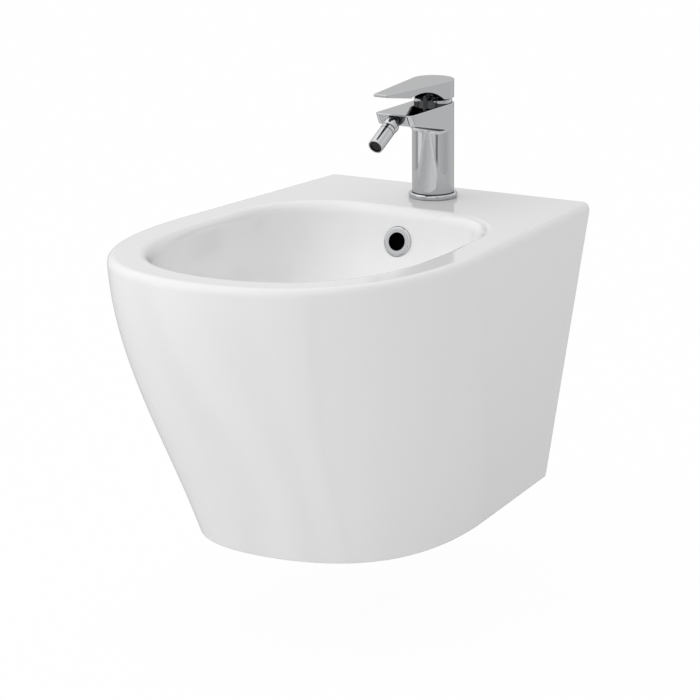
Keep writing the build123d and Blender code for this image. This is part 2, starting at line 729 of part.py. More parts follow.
with BuildPart() as tap_body:
    add(spout.part)
    add(tap_cylinder)
    root = tap_body.edges().filter_by(GeomType.ELLIPSE).sort_by(Axis.Z)[0]
    fillet(root, SPOUT_ROOT_RADIUS)
    fillet(tap_body.faces().sort_by(Axis.Z)[-1].edges(), SPOUT_EDGE)
    add([chamber, nut_thread, waterway, insert_hole], mode=Mode.SUBTRACT)
    with BuildSketch(TAP.offset(-SPIGOT_DROP)):
        with Locations((-INLET_SPREAD, -INLET_FORWARD), (INLET_SPREAD, -INLET_FORWARD)):
            Circle(INLET_R)
    extrude(amount=INLET_DEPTH, mode=Mode.SUBTRACT)
    with BuildSketch(TAP.offset(CHAMBER_Z)):
        with Locations((-INLET_SPREAD, -INLET_FORWARD), (INLET_SPREAD, -INLET_FORWARD)):
            Circle(INLET_PASSAGE_R)
    extrude(amount=-CHAMBER_Z, mode=Mode.SUBTRACT)
    with BuildSketch(TAP.offset(-SPIGOT_DROP)):
        with Locations((0, STUD_BACK)):
            Circle(STUD_R)
    extrude(amount=STUD_DEPTH, mode=Mode.SUBTRACT)

save(tap_body.part, "tap_body")

# Cartridge: seals, housing and discs

housing_floor = CHAMBER_Z + HOUSING_BASE
disc_top = housing_floor + FIXED_DISC + MOVING_DISC
carrier_top = disc_top + CARRIER
housing_r = CHAMBER_R - 2 * RUNNING_FIT
cavity_r = housing_r - HOUSING_WALL
housing_blank = turned(
    TAP,
    [
        (0, CHAMBER_Z),
        (housing_r, CHAMBER_Z),
        (housing_r, HOUSING_TOP_Z),
        (TURRET_NECK_R + RUNNING_FIT, HOUSING_TOP_Z),
        (TURRET_NECK_R + RUNNING_FIT, GUIDE_Z),
        (cavity_r, GUIDE_Z),
        (cavity_r, housing_floor),
        (0, housing_floor),
    ],
)

with BuildPart() as cartridge_seals:
    with BuildSketch(TAP.offset(CHAMBER_Z)):
        with Locations((-INLET_SPREAD, -INLET_FORWARD), (INLET_SPREAD, -INLET_FORWARD)):
            Circle(SEAL_OUTER_R)
            Circle(INLET_PASSAGE_R, mode=Mode.SUBTRACT)
    extrude(amount=SEAL_HEIGHT)

save(cartridge_seals.part, "cartridge_seals")

with BuildPart() as cartridge_housing:
    add(housing_blank)
    with BuildSketch(TAP.offset(CHAMBER_Z)):
        with Locations((-INLET_SPREAD, -INLET_FORWARD), (INLET_SPREAD, -INLET_FORWARD)):
            Circle(INLET_PASSAGE_R)
    extrude(amount=HOUSING_BASE, mode=Mode.SUBTRACT)
    with BuildSketch(TAP.offset(CHAMBER_Z)):
        with Locations((-INLET_SPREAD, -INLET_FORWARD), (INLET_SPREAD, -INLET_FORWARD)):
            Circle(SEAL_OUTER_R)
    extrude(amount=SEAL_HEIGHT, mode=Mode.SUBTRACT)
    with BuildSketch(upright(TAP)):
        with Locations((0, WINDOW_Z)):
            Rectangle(WINDOW_WIDTH, WINDOW_HEIGHT)
    extrude(amount=TAP_R, mode=Mode.SUBTRACT)

save(cartridge_housing.part, "cartridge_housing")

with BuildPart() as fixed_disc:
    with BuildSketch(TAP.offset(housing_floor)):
        Circle(FIXED_DISC_R)
        with Locations((-INLET_SPREAD, -INLET_FORWARD), (INLET_SPREAD, -INLET_FORWARD)):
            Circle(INLET_PASSAGE_R, mode=Mode.SUBTRACT)
    extrude(amount=FIXED_DISC)

save(fixed_disc.part, "fixed_disc")

stem_lean = radians(STEM_LEAN)
stem_ball_back = STEM_BALL_DROP * sin(stem_lean)
disc_blank = rod(TAP, DISC_R, housing_floor + FIXED_DISC, carrier_top)

with BuildPart() as moving_disc:
    add(Pos(0, stem_ball_back, 0) * disc_blank)
    with BuildSketch(TAP.offset(carrier_top)):
        with Locations((0, stem_ball_back)):
            Circle(CARRIER_HOLE_R)
    extrude(amount=-CARRIER, mode=Mode.SUBTRACT)

save(moving_disc.part, "moving_disc")

# Turret: turns in the housing and carries the pin that the stem rocks on

turret_blank = turned(
    TAP,
    [
        (0, carrier_top + TURRET_GAP),
        (TURRET_FLANGE_R, carrier_top + TURRET_GAP),
        (TURRET_FLANGE_R, GUIDE_Z - ASSEMBLY_GAP),
        (TURRET_NECK_R, GUIDE_Z - ASSEMBLY_GAP),
        (TURRET_NECK_R, TURRET_TOP_Z),
        (0, TURRET_TOP_Z),
    ],
)
PIN = Plane(origin=(0, -TAP_Y, DECK_Z + PIVOT_Z), x_dir=(0, 1, 0), z_dir=(1, 0, 0))

with BuildPart() as cartridge_turret:
    add(turret_blank)
    with BuildSketch(TAP.offset(carrier_top)):
        Rectangle(TURRET_SLOT_WIDTH, TURRET_SLOT_LENGTH)
    extrude(amount=TURRET_TOP_Z, mode=Mode.SUBTRACT)
    with BuildSketch(PIN):
        Circle(PIN_R)
    extrude(amount=TAP_R, both=True, mode=Mode.SUBTRACT)

save(cartridge_turret.part, "cartridge_turret")

pin_half = TURRET_NECK_R - 2 * ASSEMBLY_GAP
save(rod(PIN, PIN_R, -pin_half, pin_half), "turret_pin")

# Stem: its own plane stands on the pin and leans forward with the tap shut

STEM = Plane(
    origin=(0, -TAP_Y, DECK_Z + PIVOT_Z),
    x_dir=(1, 0, 0),
    z_dir=(0, -sin(stem_lean), cos(stem_lean)),
)
stem_neck = rod(STEM, STEM_NECK_R, -STEM_BALL_DROP, -STEM_SHANK)

with BuildPart() as cartridge_stem:
    with BuildSketch(STEM.offset(-STEM_SHANK)):
        Rectangle(STEM_SIDE, STEM_SIDE)
    extrude(amount=STEM_SHANK + STEM_TOP)
    add(stem_neck)
    with Locations(STEM.offset(-STEM_BALL_DROP)):
        Sphere(STEM_BALL_R)
    with BuildSketch(PIN):
        Circle(PIN_R + RUNNING_FIT)
    extrude(amount=TAP_R, both=True, mode=Mode.SUBTRACT)

save(cartridge_stem.part, "cartridge_stem")

# Cartridge nut and the round cover screwed on it

nut_blank = turned(
    TAP,
    [
        (NUT_BORE_R, HOUSING_TOP_Z),
        (NUT_R, HOUSING_TOP_Z),
        (NUT_R, TAP_TOP - TURRET_GAP),
        (NUT_COLLAR_R, TAP_TOP - TURRET_GAP),
        (NUT_COLLAR_R, NUT_COLLAR_TOP_Z),
        (NUT_BORE_R, NUT_COLLAR_TOP_Z),
    ],
)

with BuildPart() as cartridge_nut:
    add(nut_blank)
    with BuildSketch(TAP.offset(NUT_COLLAR_TOP_Z)):
        Rectangle(2 * TAP_R, NUT_SLOT)
        Rectangle(NUT_SLOT, 2 * TAP_R)
    extrude(amount=TAP_TOP + TURRET_GAP - NUT_COLLAR_TOP_Z, mode=Mode.SUBTRACT)

save(cartridge_nut.part, "cartridge_nut")

# The cover: a straight band and a quarter arch over the nut

with BuildPart() as dome_cover:
    with BuildSketch(upright(TAP)):
        with BuildLine():
            Line((COVER_R, TAP_TOP), (COVER_R, COVER_BAND_Z))
            RadiusArc((COVER_R, COVER_BAND_Z), (COVER_MOUTH_R, COVER_TOP_Z), -COVER_ARC)
            Line((COVER_MOUTH_R, COVER_TOP_Z), (COVER_MOUTH_R, COVER_TOP_Z - COVER_WALL))
            RadiusArc(
                (COVER_MOUTH_R, COVER_TOP_Z - COVER_WALL),
                (COVER_R - COVER_WALL, COVER_BAND_Z),
                COVER_ARC - COVER_WALL,
            )
            Line((COVER_R - COVER_WALL, COVER_BAND_Z), (COVER_R - COVER_WALL, TAP_TOP))
            Line((COVER_R - COVER_WALL, TAP_TOP), (COVER_R, TAP_TOP))
        make_face()
    revolve(axis=Axis(TAP.origin, TAP.z_dir))

save(dome_cover.part, "dome_cover")

# Lever: a tapered plate with a skirt over the cover, a side arch and a boss on the stem

LEVER = TAP.offset(LEVER_SKIRT_Z)
tip_y = -LEVER_REACH
corner_distance = sqrt(LEVER_REACH**2 + LEVER_TIP_HALF_WIDTH**2)
tangent_angle = atan2(LEVER_REACH, LEVER_TIP_HALF_WIDTH) - acos(TAP_R / corner_distance)
tangent_x = TAP_R * cos(tangent_angle)
tangent_y = -TAP_R * sin(tangent_angle)


def lever_plan(inset):
    """The lever's plan: a round back that runs by tangents into a narrow tip."""
    radius = TAP_R - inset
    scale = radius / TAP_R
    with BuildSketch(mode=Mode.PRIVATE) as plan:
        Circle(radius)
        with BuildLine():
            Polyline(
                (tangent_x * scale, tangent_y * scale),
                (LEVER_TIP_HALF_WIDTH - inset, tip_y),
                (inset - LEVER_TIP_HALF_WIDTH, tip_y),
                (-tangent_x * scale, tangent_y * scale),
                close=True,
            )
        make_face()
        fillet(plan.vertices().group_by(Axis.Y)[0], LEVER_TIP_CORNER - inset)
    return plan.sketch


def below(profile, reach):
    """A cutting block across the lever under a line of (forward, height) points."""
    points = [(-TAP_Y - forward, DECK_Z + height) for forward, height in profile]
    floor = DECK_Z + LEVER_SKIRT_Z - PAST
    with BuildPart() as block:
        with BuildSketch(Plane.YZ):
            with BuildLine():
                Polyline(*points, (points[-1][0], floor), (points[0][0], floor), close=True)
            make_face()
        extrude(amount=reach, both=True)
    return block.part


lever_height = LEVER_TOP_Z - LEVER_SKIRT_Z
underside = below(
    [
        (LEVER_SKIRT_REACH, LEVER_SKIRT_Z),
        (LEVER_REACH, LEVER_TOP_Z - LEVER_TIP_THICKNESS),
        (LEVER_REACH + PAST, LEVER_TOP_Z - LEVER_TIP_THICKNESS),
    ],
    2 * TAP_R,
)

with BuildPart() as arch:
    with BuildSketch(Plane.YZ):
        with BuildLine():
            ThreePointArc(
                *[(-TAP_Y - forward, DECK_Z + height) for forward, height in (ARCH_FRONT, ARCH_CROWN, ARCH_REAR)]
            )
            Polyline(
                (-TAP_Y - ARCH_REAR[0], DECK_Z + ARCH_REAR[1]),
                (-TAP_Y - ARCH_REAR[0], DECK_Z + LEVER_SKIRT_Z - PAST),
                (-TAP_Y - ARCH_FRONT[0], DECK_Z + LEVER_SKIRT_Z - PAST),
                (-TAP_Y - ARCH_FRONT[0], DECK_Z + ARCH_FRONT[1]),
            )
        make_face()
    extrude(amount=2 * TAP_R, both=True)

GRUB = Plane(
    origin=STEM.from_local_coords(Vector(0, 0, GRUB_ALONG)),
    x_dir=(1, 0, 0),
    z_dir=(0, cos(stem_lean), sin(stem_lean)),
)
grub_hole = rod(GRUB, GRUB_R, 0, BOSS_R + PAST / 2)
plug_hole = rod(GRUB, PLUG_HOLE_R, BOSS_R + PAST, 2 * TAP_R)
boss = rod(STEM, BOSS_R, BOSS_START, STEM_TOP + LEVER_CEILING)

with BuildPart() as lever_hollow:
    with BuildSketch(LEVER):
        add(lever_plan(LEVER_WALL))
    extrude(amount=lever_height - LEVER_CEILING)
    with BuildSketch(TAP.offset(LEVER_SKIRT_Z)):
        with Locations((0, -LEVER_HOLLOW_REACH)):
            Rectangle(4 * TAP_R, LEVER_REACH, align=(Align.CENTER, Align.MAX))
    extrude(amount=lever_height, mode=Mode.SUBTRACT)
    add(boss, mode=Mode.SUBTRACT)

with BuildPart() as lever_handle:
    with BuildSketch(LEVER):
        add(lever_plan(0))
    extrude(amount=lever_height)
    fillet(lever_handle.faces().sort_by(Axis.Z)[-1].edges(), LEVER_EDGE)
    add([underside, arch.part], mode=Mode.SUBTRACT)
    add(lever_hollow.part, mode=Mode.SUBTRACT)
    with BuildSketch(STEM.offset(BOSS_START)):
        Rectangle(STEM_SIDE + 2 * RUNNING_FIT, STEM_SIDE + 2 * RUNNING_FIT)
    extrude(amount=STEM_TOP - BOSS_START, mode=Mode.SUBTRACT)
    add([grub_hole, plug_hole], mode=Mode.SUBTRACT)

save(lever_handle.part, "lever_handle")

with BuildPart() as lever_grub_screw:
    with BuildSketch(GRUB.offset(STEM_SIDE / 2)):
        Circle(GRUB_R)
    extrude(amount=GRUB_LENGTH)
    with BuildSketch(GRUB.offset(STEM_SIDE / 2 + GRUB_LENGTH)):
        RegularPolygon(GRUB_HEX / 2, 6, major_radius=False)
    extrude(amount=-GRUB_LENGTH / 2, mode=Mode.SUBTRACT)

save(lever_grub_screw.part, "lever_grub_screw")

lever_back = rod(TAP, TAP_R, LEVER_SKIRT_Z, LEVER_TOP_Z)

with BuildPart() as lever_screw_plug:
    with BuildSketch(GRUB.offset(2 * TAP_R)):
        Circle(PLUG_HOLE_R)
    extrude(amount=TAP_R - 2 * TAP_R - SCREW_PLUG)
    add(lever_back, mode=Mode.INTERSECT)

save(lever_screw_plug.part, "lever_screw_plug")

# Jet: hollow ball stud, and everything that swivels on its ball

stud_insert = rod(JET, INSERT_THREAD_R - RUNNING_FIT, insert_low, -BALL_STANDOFF)
stud_neck = rod(JET, NECK_R, -BALL_STANDOFF, 0)
stud_bore = rod(JET, BALL_BORE_R, insert_low, BALL_R)

with BuildPart() as ball_stud:
    with Locations(JET):
        Sphere(BALL_R)
    add([stud_insert, stud_neck])
    add(stud_bore, mode=Mode.SUBTRACT)

save(ball_stud.part, "ball_stud")

socket_span = rod(JET, SOCKET_R, -SOCKET_BACK, SOCKET_FRONT)
socket_mouth = rod(JET, SOCKET_MOUTH_R, -SOCKET_BACK, 0)
socket_bore = rod(JET, BALL_R + BALL_FIT, 0, SOCKET_FRONT)

with BuildPart() as jet_socket:
    with Locations(JET):
        Sphere(SOCKET_R)
    add(socket_span, mode=Mode.INTERSECT)
    with Locations(JET):
        Sphere(BALL_R + BALL_FIT, mode=Mode.SUBTRACT)
    add([socket_mouth, socket_bore], mode=Mode.SUBTRACT)

save(jet_socket.part, "jet_socket")

seat_blank = ring(JET, BALL_R + BALL_FIT, SEAT_BORE_R, SEAT_START, SEAT_END)

with BuildPart() as jet_ball_seat:
    add(seat_blank)
    with Locations(JET):
        Sphere(BALL_R + BALL_FIT, mode=Mode.SUBTRACT)

save(jet_ball_seat.part, "jet_ball_seat")
save(ring(JET, JET_SEAL_R, BALL_R + BALL_FIT, SOCKET_FRONT, JET_SEAL_END), "jet_seal_ring")
save(ring(JET, COLLAR_R, SPIGOT_JET_R, JET_SEAL_END, COLLAR_END), "jet_collar")
save(ring(JET, WASHER_R, SPIGOT_JET_R, COLLAR_END, WASHER_END), "jet_washer")

pocket_low = BARREL_END - INSERT_LENGTH
jet_barrel = turned(
    JET,
    [
        (BARREL_BORE_R, SEAT_END),
        (SPIGOT_JET_R, SEAT_END),
        (SPIGOT_JET_R, WASHER_END),
        (BARREL_R, WASHER_END),
        (BARREL_R, BARREL_END),
        (INSERT_R, BARREL_END),
        (INSERT_R, pocket_low),
        (BARREL_BORE_R, pocket_low),
    ],
)
save(jet_barrel, "jet_barrel")

mesh_top = BARREL_END - INSERT_LIP
insert_tube = ring(JET, INSERT_R, INSERT_R - INSERT_WALL, pocket_low, BARREL_END)
mesh_reach = INSERT_R - INSERT_WALL - MESH_HOLE_R
mesh_spots = [
    (i * MESH_PITCH, j * MESH_PITCH)
    for i in range(-3, 4)
    for j in range(-3, 4)
    if sqrt(i**2 + j**2) * MESH_PITCH < mesh_reach
]

with BuildPart() as aerator_insert:
    add(insert_tube)
    with BuildSketch(JET.offset(mesh_top)):
        Circle(INSERT_R - INSERT_WALL / 2)
        with Locations(*mesh_spots):
            Circle(MESH_HOLE_R, mode=Mode.SUBTRACT)
    extrude(amount=-MESH_PLATE)

save(aerator_insert.part, "aerator_insert")

# Under the deck: stud, horseshoes and the long nut

TAP_STUD = Plane(origin=(0, STUD_BACK - TAP_Y, DECK_Z))
stud_top = STUD_DEPTH - SPIGOT_DROP
seal_low = -DECK_THICKNESS - HORSESHOE_SEAL
plate_low = seal_low - HORSESHOE_PLATE
save(rod(TAP_STUD, STUD_R, -STUD_LENGTH_BELOW, stud_top), "tap_stud")


def horseshoe(low, high):
    """A round plate with a wide slot open to the front and a hole for the stud."""
    with BuildPart() as plate:
        with BuildSketch(TAP.offset(low)):
            Circle(HORSESHOE_R)
            with BuildSketch(mode=Mode.SUBTRACT) as slot:
                with Locations((0, HORSESHOE_SLOT_END)):
                    Rectangle(HORSESHOE_SLOT, 2 * HORSESHOE_R, align=(Align.CENTER, Align.MAX))
                fillet(slot.vertices().group_by(Axis.Y)[-1], HORSESHOE_CORNER)
            with Locations((0, STUD_BACK)):
                Circle(STUD_R, mode=Mode.SUBTRACT)
        extrude(amount=high - low)
    return plate.part


save(horseshoe(seal_low, -DECK_THICKNESS), "horseshoe_seal")
save(horseshoe(plate_low, seal_low), "horseshoe_washer")
save(hexagon(TAP_STUD, STUD_NUT_FLATS, STUD_R, plate_low - STUD_NUT_HEIGHT, plate_low), "stud_nut")
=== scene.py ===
# %% [markdown]
# # A wall hung bidet with a chrome tap
# The real object is one casting of glazed china with a small chrome tap, a waste and its wall
# fixings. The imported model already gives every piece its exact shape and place, so nothing is
# modelled twice. This lesson dresses the pieces in the finishes of their real materials and sets
# up the floor, the light and the camera around them. The frame comes first, because everything
# else is measured from it.

import json
import math

import bmesh
import bpy
from mathutils import Matrix, Vector

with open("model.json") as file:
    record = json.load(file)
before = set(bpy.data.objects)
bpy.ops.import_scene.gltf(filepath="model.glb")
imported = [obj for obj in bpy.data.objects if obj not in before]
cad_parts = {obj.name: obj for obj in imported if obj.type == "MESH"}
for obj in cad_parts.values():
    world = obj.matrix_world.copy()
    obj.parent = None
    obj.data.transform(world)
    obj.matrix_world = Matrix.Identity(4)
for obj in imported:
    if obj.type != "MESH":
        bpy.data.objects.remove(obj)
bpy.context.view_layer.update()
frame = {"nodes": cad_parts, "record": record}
nodes = frame["nodes"]

# %% [markdown]
# ## Colours
# Colours are picked on a screen, in sRGB hex. Shaders add and multiply light, so they need linear
# values. One function does that for every colour in the file, and no colour is typed twice.


# %% Colour from a hex code
def colour(code):
    """Linear red, green, blue and alpha from an sRGB hex colour."""
    channels = [int(code[i : i + 2], 16) / 255 for i in (1, 3, 5)]
    linear = [c / 12.92 if c <= 0.04045 else ((c + 0.055) / 1.055) ** 2.4 for c in channels]
    return (*linear, 1.0)


WHITE = colour("#FFFFFF")
print("white is", WHITE)

# %% [markdown]
# ## Nodes
# A material is a small graph. It could be wired by hand in the editor, but written down it can be
# read and repeated. This function adds one node, sets what the node itself offers, and then puts
# a value or a link on each of its inputs.


# %% One node at a time
def add(tree, kind, inputs=None, **settings):
    """A node of one kind, with settings on the node and values or links on its inputs."""
    node = tree.nodes.new(kind)
    for name, value in settings.items():
        setattr(node, name, value)
    for name, value in (inputs or {}).items():
        socket = node.inputs[name]
        if isinstance(value, bpy.types.NodeSocket):
            tree.links.new(value, socket)
        else:
            socket.default_value = value
    return node


print("ready to add nodes")

# %% [markdown]
# ## A base for every finish
# Each finish is a Principled surface. Its patterns read Object coordinates, which are metres on
# the piece itself, so they stay where they are when a joint moves the piece. A noise pattern
# mostly stays between 0.3 and 0.7, so that range is what gets stretched over a finish's own.

# %% Material base
PATTERN_LOW, PATTERN_HIGH = 0.3, 0.7


def finish(name, base, roughness, metallic=0.0, **sockets):
    """A new material with its Principled shader and its Object coordinates."""
    material = bpy.data.materials.new(name)
    material.use_nodes = True
    tree = material.node_tree
    shader = tree.nodes["Principled BSDF"]
    shader.inputs["Base Color"].default_value = colour(base)
    shader.inputs["Roughness"].default_value = roughness
    shader.inputs["Metallic"].default_value = metallic
    for socket, value in sockets.items():
        shader.inputs[socket.replace("_", " ")].default_value = value
    place = add(tree, "ShaderNodeTexCoord").outputs["Object"]
    return material, tree, shader, place


print("patterns run from", PATTERN_LOW, "to", PATTERN_HIGH)

# %% [markdown]
# ## Vitreous china
# The body is vitreous china under a clear white glaze. The glaze is a thin glass: smooth, hard and
# glossy, with an index of refraction of 1.52. It ran a little in the kiln, so it has a slow
# ripple, and that is what makes its highlights soft at the edge. A bump is enough for a ripple
# that is only a few hundredths of a millimetre deep.

# %% Glaze: gloss and ripple
GLAZE_WHITE = "#F5F5F5"
RIPPLE_MM = 35.7
RIPPLE_DEPTH = 0.00004
glaze, tree, shader, place = finish("vitreous_china_glaze", GLAZE_WHITE, 0.07, IOR=1.52)
ripple = add(
    tree, "ShaderNodeTexNoise", {"Vector": place, "Scale": 1000 / RIPPLE_MM, "Detail": 1.0}
)
rippled = add(
    tree,
    "ShaderNodeBump",
    {"Height": ripple.outputs["Fac"], "Distance": RIPPLE_DEPTH, "Strength": 1.0},
)
tree.links.new(rippled.outputs["Normal"], shader.inputs["Normal"])
print("glaze ripples are", RIPPLE_MM, "mm long")

# %% [markdown]
# ## Bare clay and the duct's painted shade
# The face against the wall is never glazed, so it is bare clay, warm and matte. The overflow's
# duct is narrow and unglazed, and the shade deep inside it is painted on: its walls are coloured
# near black, so it looks black through its ring. Both are parts of the one casting, so they are
# masks and not pieces of their own: the wall face is a thin band of Y, and the duct's painted
# shade is a box in X, Y and Z. A mask is one inside its limits and zero outside them.

# %% Glaze: the two masks
WALL_BAND = ("Y", -0.0012, 0.001)
# The duct box marks where shade is painted: the inside of the overflow's duct.
PAINTED_DUCT_SHADE_BOX = (("X", -0.0155, 0.0155), ("Y", -0.1165, -0.093), ("Z", -0.02, 0.082))
axes = add(tree, "ShaderNodeSeparateXYZ", {"Vector": place}).outputs
masks = []
for axis, low, high in (WALL_BAND, *PAINTED_DUCT_SHADE_BOX):
    inside = add(
        tree,
        "ShaderNodeMath",
        {0: axes[axis], 1: (low + high) / 2, 2: (high - low) / 2},
        operation="COMPARE",
    )
    masks.append(inside.outputs[0])
bare, in_painted_duct_shade = masks[0], masks[1]
for side in masks[2:]:
    in_painted_duct_shade = add(tree, "ShaderNodeMath", {0: in_painted_duct_shade, 1: side}, operation="MULTIPLY").outputs[0]
print("masks:", len(masks))

# %% [markdown]
# The masks then choose the colour and the gloss. The glaze's own gloss also drifts a little from
# place to place, over about a hand's width, as a fired glaze does.

# %% Glaze: colour and roughness
BARE_CLAY = "#E2DCD0"
# Painted shade: the duct's inside is coloured near black to stand for the shade deep in it.
DUCT_PAINTED_SHADE = "#141414"
BARE_ROUGHNESS = 0.65
GLAZE_ROUGHNESS = (0.09, 0.13)
DRIFT_MM = 111.0
tint = add(
    tree,
    "ShaderNodeMix",
    {0: bare, 6: colour(GLAZE_WHITE), 7: colour(BARE_CLAY)},
    data_type="RGBA",
)
# Inside the duct box the colour turns to the near-black painted shade.
tint = add(
    tree,
    "ShaderNodeMix",
    {0: in_painted_duct_shade, 6: tint.outputs[2], 7: colour(DUCT_PAINTED_SHADE)},
    data_type="RGBA",
)
tree.links.new(tint.outputs[2], shader.inputs["Base Color"])
drift = add(tree, "ShaderNodeTexNoise", {"Vector": place, "Scale": 1000 / DRIFT_MM, "Detail": 2.0})
glazed_gloss = add(
    tree,
    "ShaderNodeMapRange",
    {
        "Value": drift.outputs["Fac"],
        "From Min": PATTERN_LOW,
        "From Max": PATTERN_HIGH,
        "To Min": GLAZE_ROUGHNESS[0],
        "To Max": GLAZE_ROUGHNESS[1],
    },
)
gloss = add(
    tree,
    "ShaderNodeMix",
    {0: bare, 2: glazed_gloss.outputs["Result"], 3: BARE_ROUGHNESS},
    data_type="FLOAT",
)
tree.links.new(gloss.outputs[0], shader.inputs["Roughness"])
print("glaze:", glaze.name)

# %% [markdown]
# ## Chrome
# The tap is brass that was polished and then plated with nickel and chrome. Chrome is a cool,
# slightly dark mirror. Wiping leaves faint smears, which change only how sharp the mirror is, and
# polishing by hand leaves a wave that is too shallow to feel but bends a reflection a little.

# %% Chrome
SMEAR_MM = 16.7
SMEAR_ROUGHNESS = (0.035, 0.075)
POLISH_MM = 11.1
POLISH_DEPTH = 0.00002
chrome, tree, shader, place = finish("polished_chrome_plate", "#D9DADC", 0.05, metallic=1.0)
smear = add(tree, "ShaderNodeTexNoise", {"Vector": place, "Scale": 1000 / SMEAR_MM, "Detail": 3.0})
smeared = add(
    tree,
    "ShaderNodeMapRange",
    {
        "Value": smear.outputs["Fac"],
        "From Min": PATTERN_LOW,
        "From Max": PATTERN_HIGH,
        "To Min": SMEAR_ROUGHNESS[0],
        "To Max": SMEAR_ROUGHNESS[1],
    },
)
tree.links.new(smeared.outputs["Result"], shader.inputs["Roughness"])
wave = add(tree, "ShaderNodeTexNoise", {"Vector": place, "Scale": 1000 / POLISH_MM, "Detail": 0.0})
waved = add(
    tree,
    "ShaderNodeBump",
    {"Height": wave.outputs["Fac"], "Distance": POLISH_DEPTH, "Strength": 1.0},
)
tree.links.new(waved.outputs["Normal"], shader.inputs["Normal"])
print("chrome:", chrome.name)

# %% [markdown]
# ## Moulded finishes
# Rubber rings and plastic parts take the grain of their mould: a fine, even roughness that spreads
# a highlight. Real mould grain is finer than a picture of the whole bidet can show, so it is drawn
# at a quarter to half a millimetre. The cartridge's discs are ground alumina, which looks the same
# in kind, only harder and glossier, so they share the recipe.

# %% Moulded finishes
GRAIN_GLOSS_SWING = 0.08


def moulded(name, base, roughness, grain_mm, depth):
    """A moulded finish with a grain of a given width, its depth in metres."""
    material, tree, shader, place = finish(name, base, roughness)
    grain = add(
        tree, "ShaderNodeTexNoise", {"Vector": place, "Scale": 1000 / grain_mm, "Detail": 2.0}
    ).outputs["Fac"]
    grained = add(tree, "ShaderNodeBump", {"Height": grain, "Distance": depth, "Strength": 1.0})
    tree.links.new(grained.outputs["Normal"], shader.inputs["Normal"])
    gloss = add(
        tree,
        "ShaderNodeMapRange",
        {
            "Value": grain,
            "From Min": PATTERN_LOW,
            "From Max": PATTERN_HIGH,
            "To Min": roughness - GRAIN_GLOSS_SWING,
            "To Max": roughness + GRAIN_GLOSS_SWING,
        },
    )
    tree.links.new(gloss.outputs["Result"], shader.inputs["Roughness"])
    return material


rubber = moulded("epdm_rubber", "#1C1C1C", 0.72, 0.42, 0.00003)
acetal = moulded("black_acetal", "#161617", 0.38, 0.33, 0.00002)
nylon = moulded("natural_nylon", "#DEDCD2", 0.5, 0.45, 0.00003)
cap_plastic = moulded("silver_grey_abs", "#A9AAAC", 0.3, 0.38, 0.00001)
alumina = moulded("ground_alumina", "#E6E1D2", 0.25, 0.25, 0.00001)
print("moulded:", rubber.name, acetal.name, nylon.name, cap_plastic.name, alumina.name)

# %% [markdown]
# ## Turned metal
# Nuts, washers and studs come off a lathe, which leaves fine grooves around them. They make a
# highlight run across the grooves. The real ones are a tenth of a millimetre apart, and are drawn
# a few millimetres apart so that they show. A wave texture has 20 radians to the unit, so its
# scale is a full turn over twenty times the spacing.

# %% Turned metal
WAVE_RADIANS = 20.0
GROOVE_GLOSS_SWING = 0.06


def turned(name, base, roughness, groove_mm, depth):
    """A turned metal finish with grooves across Z, their depth in metres."""
    material, tree, shader, place = finish(name, base, roughness, metallic=1.0)
    scale = math.tau / (WAVE_RADIANS * groove_mm / 1000)
    grooves = add(
        tree,
        "ShaderNodeTexWave",
        {"Vector": place, "Scale": scale, "Distortion": 0.6, "Detail": 2.0},
        bands_direction="Z",
    ).outputs["Fac"]
    grooved = add(tree, "ShaderNodeBump", {"Height": grooves, "Distance": depth, "Strength": 1.0})
    tree.links.new(grooved.outputs["Normal"], shader.inputs["Normal"])
    gloss = add(
        tree,
        "ShaderNodeMapRange",
        {
            "Value": grooves,
            "From Min": PATTERN_LOW,
            "From Max": PATTERN_HIGH,
            "To Min": roughness - GROOVE_GLOSS_SWING,
            "To Max": roughness + GROOVE_GLOSS_SWING,
        },
    )
    tree.links.new(gloss.outputs["Result"], shader.inputs["Roughness"])
    return material


zinc = turned("zinc_plated_steel", "#B9BCBE", 0.3, 3.77, 0.00005)
brass = turned("turned_brass", "#C9A45C", 0.28, 3.14, 0.00004167)
print("turned:", zinc.name, brass.name)

# %% [markdown]
# ## Dressing the frame
# Each piece could be given its finish by name. The record already says which slot each node
# takes, so one table from slot to finish dresses all of them, and a new piece needs no new line.

# %% Dress every node
slot_finish = {
    "glazed_white": glaze,
    "chrome": chrome,
    "black_rubber": rubber,
    "black_plastic": acetal,
    "white_nylon": nylon,
    "disc_ceramic": alumina,
    "plain_steel": zinc,
    "raw_brass": brass,
    "grey_plastic": cap_plastic,
}
for entry in frame["record"]["subparts"]:
    mesh = nodes[entry["node"]].data
    mesh.materials.clear()
    mesh.materials.append(slot_finish[entry["material_slot"]])

# %% [markdown]
# ## Floor
# The bidet hangs on a wall, so the floor is 96 mm below its foot. One large square is enough,
# because its edge is never in view.

# %% Floor sheet
FLOOR_Z = -0.31
FLOOR_HALF = 20.0
sheet = bmesh.new()
bmesh.ops.create_grid(
    sheet, x_segments=1, y_segments=1, size=FLOOR_HALF, matrix=Matrix.Translation((0, 0, FLOOR_Z))
)
floor_mesh = bpy.data.meshes.new("floor")
sheet.to_mesh(floor_mesh)
sheet.free()
floor = bpy.data.objects.new("floor", floor_mesh)
bpy.context.scene.collection.objects.link(floor)
print("floor at", FLOOR_Z)

# %% [markdown]
# The floor is painted a pale matte white. To the camera it is mostly a plain white of its own, so
# that the background is white without more light on the bidet, and the rest is the real paint,
# which keeps a faint shadow. Mirrors don't see it: the chrome shows the room's panels in its
# place, because a studio's dark edges are what make chrome look like metal.

